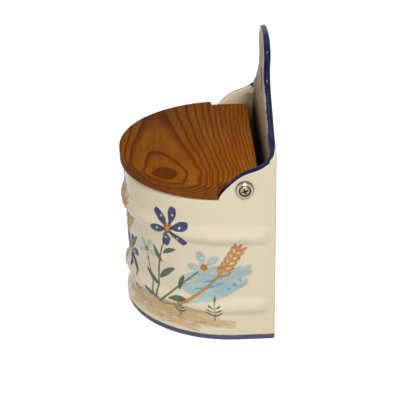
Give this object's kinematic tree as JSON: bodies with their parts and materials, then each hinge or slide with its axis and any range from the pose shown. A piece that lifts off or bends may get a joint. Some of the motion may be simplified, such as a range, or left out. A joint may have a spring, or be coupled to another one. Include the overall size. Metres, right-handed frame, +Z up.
{
  "type": "salt pig",
  "caption": "Wall-hung D-shaped ceramic salt box with a crested back plate and a wooden lid turning on screws through its wings.",
  "frame": {"origin": "centre of the overall box at the underside of the pot, the plane that it stands on", "axes": "+X is the box's right as seen from the front, +Y points to the wall behind the back plate, +Z is up"},
  "size_m": [0.1568, 0.1086, 0.2055],
  "materials": {
    "glaze": "gloss cream glaze with hand-painted cobalt trim",
    "lid_wood": "varnished pine board, satin",
    "washer_metal": "polished nickel plate",
    "screw_metal": "bright zinc plate, slightly yellow"
  },
  "bodies": {
    "pot": {"ceramic_body": "glaze"},
    "lid": {"lid": "lid_wood", "cup_washer_left": "washer_metal", "cup_washer_right": "washer_metal", "pivot_screw_left": "screw_metal", "pivot_screw_right": "screw_metal"}
  },
  "joints": [
    {"name": "lid_hinge", "type": "hinge", "parent": "pot", "child": "lid", "pos_m": [0, 0.03335, 0.1208], "axis": [-1, 0, 0], "range_deg": [0, 98]}
  ]
}
